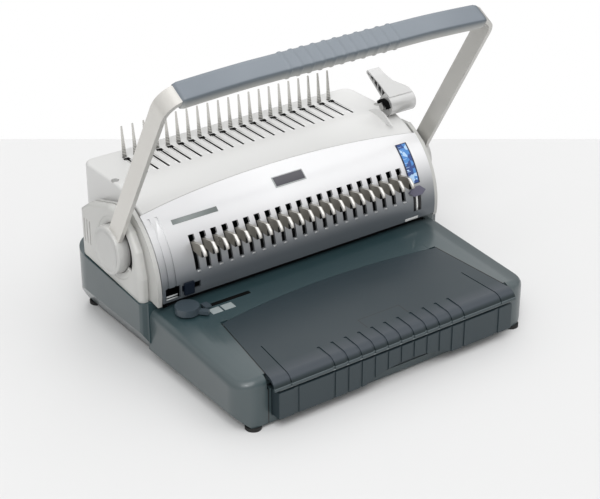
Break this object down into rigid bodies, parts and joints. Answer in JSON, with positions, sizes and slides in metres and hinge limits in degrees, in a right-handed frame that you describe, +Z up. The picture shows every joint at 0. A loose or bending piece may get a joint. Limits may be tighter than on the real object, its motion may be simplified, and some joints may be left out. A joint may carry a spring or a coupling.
{
  "type": "comb binding machine",
  "caption": "Manual desktop punch and comb binding machine: U-shaped handle, curved slotted front with hooks, comb tines on top, storage lid and waste drawer.",
  "frame": {"origin": "on the table plane, at the centre of the machine's footprint", "axes": "+X right seen from the operator, +Y to the rear, +Z up; the operator stands at -Y"},
  "size_m": [0.436, 0.36, 0.3574],
  "materials": {
    "base": "satin moulded slate plastic",
    "lid": "satin moulded slate plastic",
    "drawer": "satin moulded slate plastic",
    "panel": "silver lacquer",
    "cover": "light grey glossy",
    "caps": "light grey satin",
    "pivots": "silver grey bevelled",
    "strap": "silver lacquered strap",
    "grip": "soft grey grip",
    "hooks": "bare steel",
    "tines": "polished steel",
    "steel": "bare steel",
    "lever": "silver plastic",
    "pointer": "grey violet plastic",
    "strip": "printed film",
    "knob": "satin plastic",
    "navy": "navy plastic",
    "feet": "black rubber",
    "bronze": "oiled bronze",
    "black": "black plastic"
  },
  "bodies": {
    "base": {"base_housing": "base", "base_plate": "steel", "rubber_feet": "feet", "left_side_frame": "steel", "right_side_frame": "steel", "left_bearing": "bronze", "right_bearing": "bronze", "tie_rods": "steel", "lower_die_plate": "steel", "upper_guide_plate": "steel", "die_spacers": "steel", "front_panel": "panel", "scale_strip": "strip", "top_cover": "cover", "cover_screws": "steel", "left_end_cap": "caps", "right_end_cap": "caps", "hub_collars": "black", "tine_strip": "tines", "hook_pivots": "steel", "lever_axle": "steel", "lever_bracket": "caps", "lid_hinge_pins": "steel", "drawer_rails": "black"},
    "handle": {"handle_bar": "strap", "handle_grip": "grip", "main_shaft": "steel", "left_eccentric": "steel", "right_eccentric": "steel", "left_pivot_cap": "pivots", "right_pivot_cap": "pivots"},
    "punch_carriage": {"pressure_bar": "steel", "punch_pins": "steel", "left_yoke": "steel", "right_yoke": "steel"},
    "hook_carrier": {"hook_comb": "hooks", "size_pointer": "pointer"},
    "top_hooks": {"top_hook_bar": "steel"},
    "comb_lever": {"comb_lever": "lever"},
    "storage_lid": {"storage_lid": "lid"},
    "waste_drawer": {"chip_drawer": "drawer"},
    "depth_slider": {"depth_slider": "navy"},
    "margin_knob": {"margin_knob": "knob"},
    "edge_guide": {"edge_guide": "knob"}
  },
  "joints": [
    {"name": "handle_swing", "type": "hinge", "parent": "base", "child": "handle", "pos_m": [0, 0.062, 0.124], "axis": [1, 0, 0], "range_deg": [0, 60], "stiffness_Nm_per_rad": 6, "springref_deg": -57.3},
    {"name": "punch_stroke", "type": "slide", "parent": "base", "child": "punch_carriage", "axis": [0, 0, -1], "range_m": [0, 0.01201]},
    {"name": "comb_lever_swing", "type": "hinge", "parent": "base", "child": "comb_lever", "pos_m": [0, 0.067, 0.1965], "axis": [1, 0, 0], "range_deg": [0, 80]},
    {"name": "hook_comb_swing", "type": "hinge", "parent": "base", "child": "hook_carrier", "pos_m": [0, 0.088, 0.09], "axis": [1, 0, 0], "range_deg": [0, 11.2]},
    {"name": "top_hook_slide", "type": "slide", "parent": "base", "child": "top_hooks", "axis": [0, -1, 0], "range_m": [0, 0.0345]},
    {"name": "lid_hinge", "type": "hinge", "parent": "base", "child": "storage_lid", "pos_m": [0, -0.062, 0.06488], "axis": [-1, 0, 0], "range_deg": [0, 75]},
    {"name": "drawer_slide", "type": "slide", "parent": "base", "child": "waste_drawer", "axis": [0, -1, 0], "range_m": [0, 0.15]},
    {"name": "depth_slide", "type": "slide", "parent": "base", "child": "depth_slider", "axis": [1, 0, 0], "range_m": [0, 0.009]},
    {"name": "margin_knob_turn", "type": "hinge", "parent": "base", "child": "margin_knob", "pos_m": [-0.1685, -0.0217, 0.07], "axis": [0, 0, -1], "range_deg": [0, 165]},
    {"name": "edge_guide_slide", "type": "slide", "parent": "base", "child": "edge_guide", "axis": [1, 0, 0], "range_m": [0, 0.0455]}
  ],
  "couplings": [
    {"joint": "punch_stroke", "follows": "handle_swing", "m_per_rad": 0.011459},
    {"joint": "hook_comb_swing", "follows": "comb_lever_swing", "ratio": 0.1375},
    {"joint": "top_hook_slide", "follows": "comb_lever_swing", "m_per_rad": 0.024351},
    {"joint": "edge_guide_slide", "follows": "margin_knob_turn", "m_per_rad": 0.015626}
  ]
}
